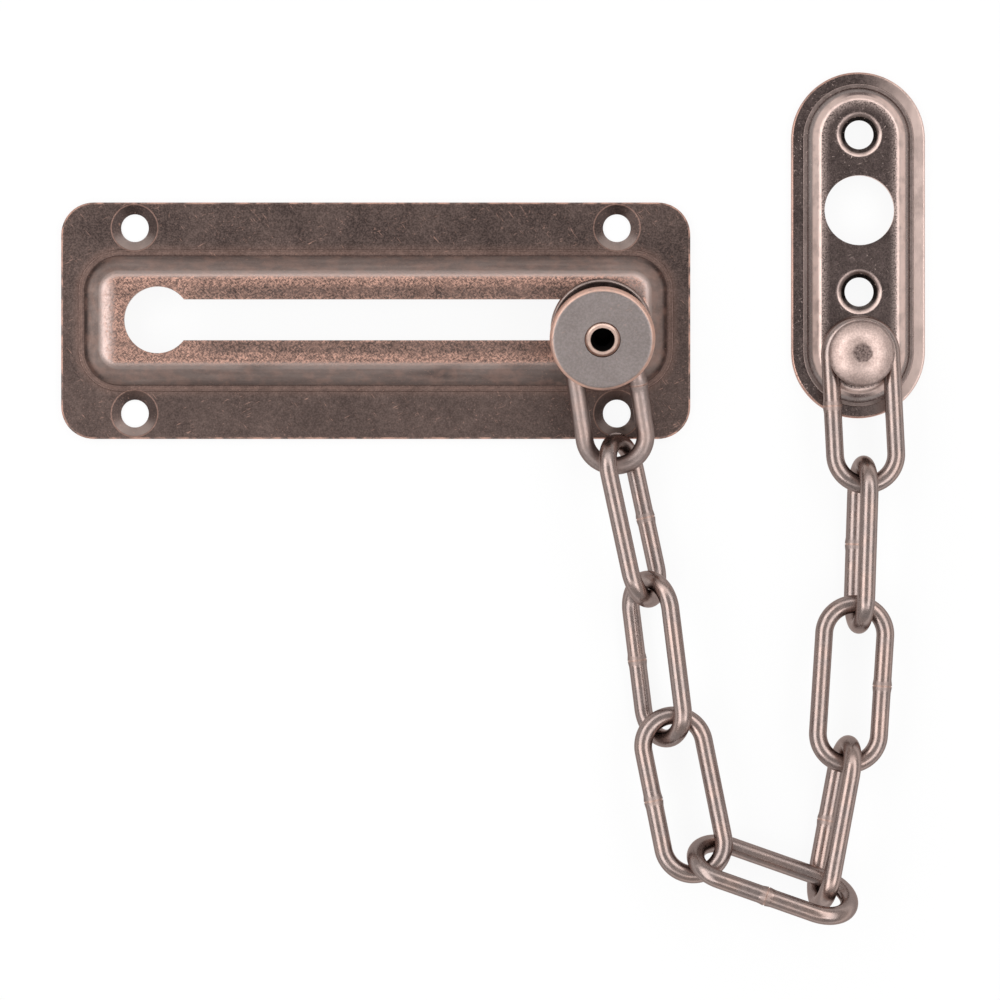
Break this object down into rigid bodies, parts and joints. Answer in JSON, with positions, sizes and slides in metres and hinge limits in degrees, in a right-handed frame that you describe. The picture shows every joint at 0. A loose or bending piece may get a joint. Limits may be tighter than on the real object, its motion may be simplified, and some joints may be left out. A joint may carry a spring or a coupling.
{
  "type": "door chain",
  "caption": "Surface-mounted door chain: stamped track plate with a keyhole slot, sliding button, wire-link chain and a keeper plate with a domed stud.",
  "frame": {"origin": "middle of the track plate's back face, between its screw holes", "axes": "+Z out of the door face, +X along the slot from the keyhole to its plain end, +Y up the door as pictured"},
  "size_m": [0.1648, 0.1613, 0.0199],
  "materials": {
    "track": "dark antique copper plate, rubbed through on edges and crest",
    "button": "antique copper plate, satin, with bright copper rims",
    "chain": "antique copper plate, satin",
    "keeper": "antique copper plate, polished, dark in the recesses"
  },
  "bodies": {
    "track": {"track_plate": "track"},
    "button": {"button_flange": "button", "button_sleeve": "button", "button_disc": "button", "button_rivet": "button"},
    "link_1": {"chain_link_1": "chain"},
    "link_2": {"chain_link_2": "chain"},
    "link_3": {"chain_link_3": "chain"},
    "link_4": {"chain_link_4": "chain"},
    "link_5": {"chain_link_5": "chain"},
    "link_6": {"chain_link_6": "chain"},
    "link_7": {"chain_link_7": "chain"},
    "link_8": {"chain_link_8": "chain"},
    "link_9": {"chain_link_9": "chain"},
    "keeper": {"keeper_plate": "keeper", "keeper_stud": "keeper"}
  },
  "joints": [
    {"name": "button_slide", "type": "slide", "parent": "track", "child": "button", "axis": [-1, 0, 0], "range_m": [0, 0.0842]},
    {"name": "link_1_turn", "type": "hinge", "parent": "button", "child": "link_1", "pos_m": [0.0429, -0.00284, 0.01229], "axis": [0, 0, 1], "range_deg": [-24, 4]},
    {"name": "link_2_turn", "type": "hinge", "parent": "link_1", "child": "link_2", "pos_m": [0.04701, -0.02241, 0.00622], "axis": [0, 0, -1], "range_deg": [-10, 45]},
    {"name": "link_3_turn", "type": "hinge", "parent": "link_2", "child": "link_3", "pos_m": [0.05247, -0.05108, 0.00742], "axis": [0, 0, 1], "range_deg": [-20, 6]},
    {"name": "link_4_turn", "type": "hinge", "parent": "link_3", "child": "link_4", "pos_m": [0.05737, -0.08127, 0.00675], "axis": [0, 0, -1], "range_deg": [-6, 48]},
    {"name": "link_5_turn", "type": "hinge", "parent": "link_4", "child": "link_5", "pos_m": [0.06028, -0.09921, 0.00848], "axis": [0, 0, -1], "range_deg": [0, 60]},
    {"name": "link_6_turn", "type": "hinge", "parent": "link_5", "child": "link_6", "pos_m": [0.08381, -0.10755, 0.00937], "axis": [0, 0, 1], "range_deg": [-44, 0]},
    {"name": "link_7_turn", "type": "hinge", "parent": "link_6", "child": "link_7", "pos_m": [0.08956, -0.07935, 0.00697], "axis": [0, 0, -1], "range_deg": [-5, 90]},
    {"name": "link_8_turn", "type": "hinge", "parent": "link_7", "child": "link_8", "pos_m": [0.09144, -0.05788, 0.00699], "axis": [0, 0, 1], "range_deg": [-90, 8]},
    {"name": "link_9_turn", "type": "hinge", "parent": "link_8", "child": "link_9", "pos_m": [0.09291, -0.02637, 0.00716], "axis": [0, 0, -1], "range_deg": [-15, 90]},
    {"name": "keeper_turn", "type": "hinge", "parent": "link_9", "child": "keeper", "pos_m": [0.09202, -0.00652, 0.0068], "axis": [0, 0, 1], "range_deg": [-100, 22]}
  ],
  "couplings": [
    {"joint": "link_5_turn", "follows": "button_slide", "rad_per_m": 12.437}
  ]
}
